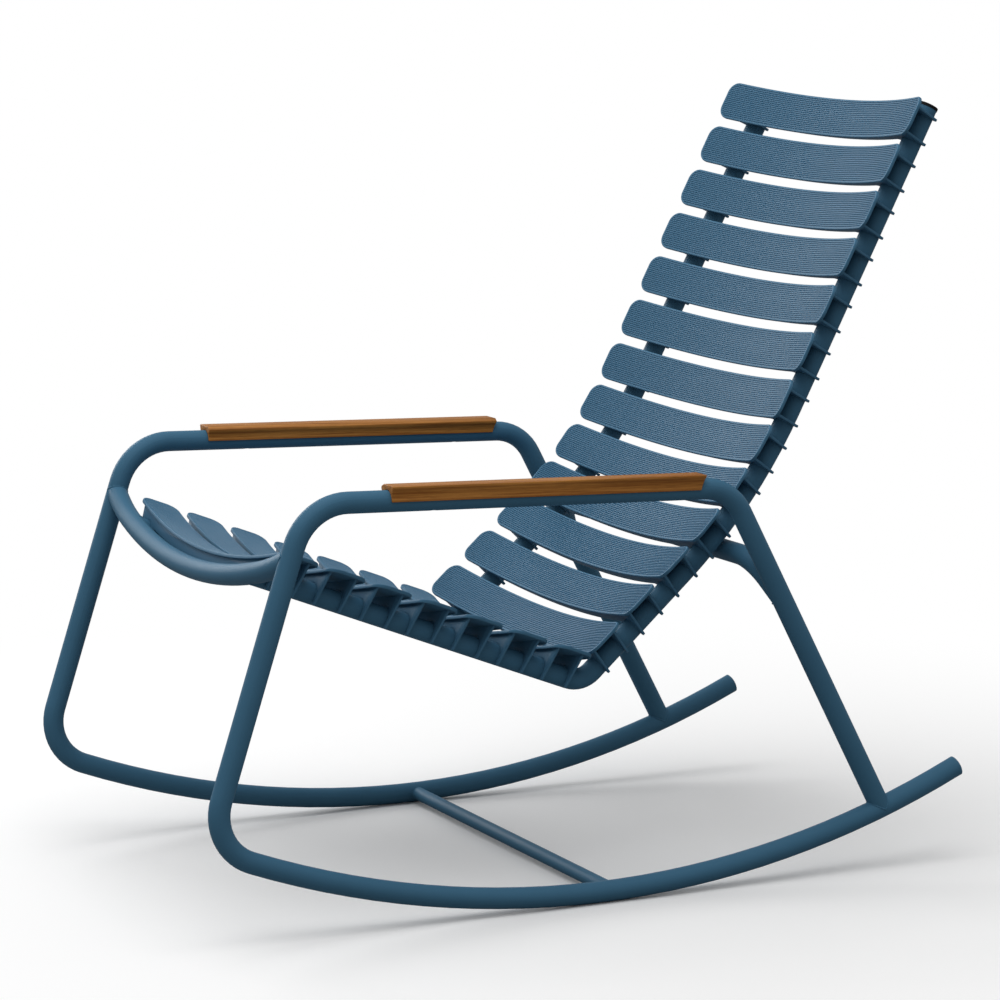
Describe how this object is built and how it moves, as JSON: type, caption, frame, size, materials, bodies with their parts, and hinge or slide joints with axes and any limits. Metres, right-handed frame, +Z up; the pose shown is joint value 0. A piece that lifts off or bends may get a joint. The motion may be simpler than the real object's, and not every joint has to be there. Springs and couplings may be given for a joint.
{
  "type": "rocking lounge chair",
  "caption": "Low rocking armchair: two bent tube side frames on curved runners carry a one-sweep seat and back of hollow slats, with a wooden pad on each arm.",
  "frame": {"origin": "on the floor, midway between the two runners, under the centre of the runners' arc", "axes": "+Z up; the chair faces -Y; +X is the sitter's left and the plane X = 0 is the chair's plane of symmetry"},
  "size_m": [0.635, 1.0586, 0.9928],
  "materials": {
    "frame_paint": "satin slate-blue powder coat",
    "slat_plastic": "moulded slate-blue plastic, fine lengthwise grooves on the upper face",
    "plug_plastic": "black moulded plug",
    "pad_wood": "oiled light brown wood, grain along the arm",
    "screw_steel": "plain stainless steel"
  },
  "bodies": {
    "root": {"left_side_frame": "frame_paint", "left_seat_rail": "frame_paint", "left_arm_pad": "pad_wood", "left_arm_pad_screws": "screw_steel", "left_runner_cap": "slat_plastic", "left_rail_plug": "plug_plastic", "right_side_frame": "frame_paint", "right_seat_rail": "frame_paint", "right_arm_pad": "pad_wood", "right_arm_pad_screws": "screw_steel", "right_runner_cap": "slat_plastic", "right_rail_plug": "plug_plastic", "front_cross_tube": "frame_paint", "rear_cross_tube": "frame_paint", "rocker_stretcher": "frame_paint", "seat_slat_01": "slat_plastic", "seat_slat_02": "slat_plastic", "seat_slat_03": "slat_plastic", "seat_slat_04": "slat_plastic", "seat_slat_05": "slat_plastic", "seat_slat_06": "slat_plastic", "seat_slat_07": "slat_plastic", "back_slat_01": "slat_plastic", "back_slat_02": "slat_plastic", "back_slat_03": "slat_plastic", "back_slat_04": "slat_plastic", "back_slat_05": "slat_plastic", "back_slat_06": "slat_plastic", "back_slat_07": "slat_plastic", "back_slat_08": "slat_plastic", "back_slat_09": "slat_plastic", "back_slat_10": "slat_plastic", "back_slat_11": "slat_plastic", "back_slat_12": "slat_plastic", "back_slat_13": "slat_plastic"}
  },
  "joints": []
}
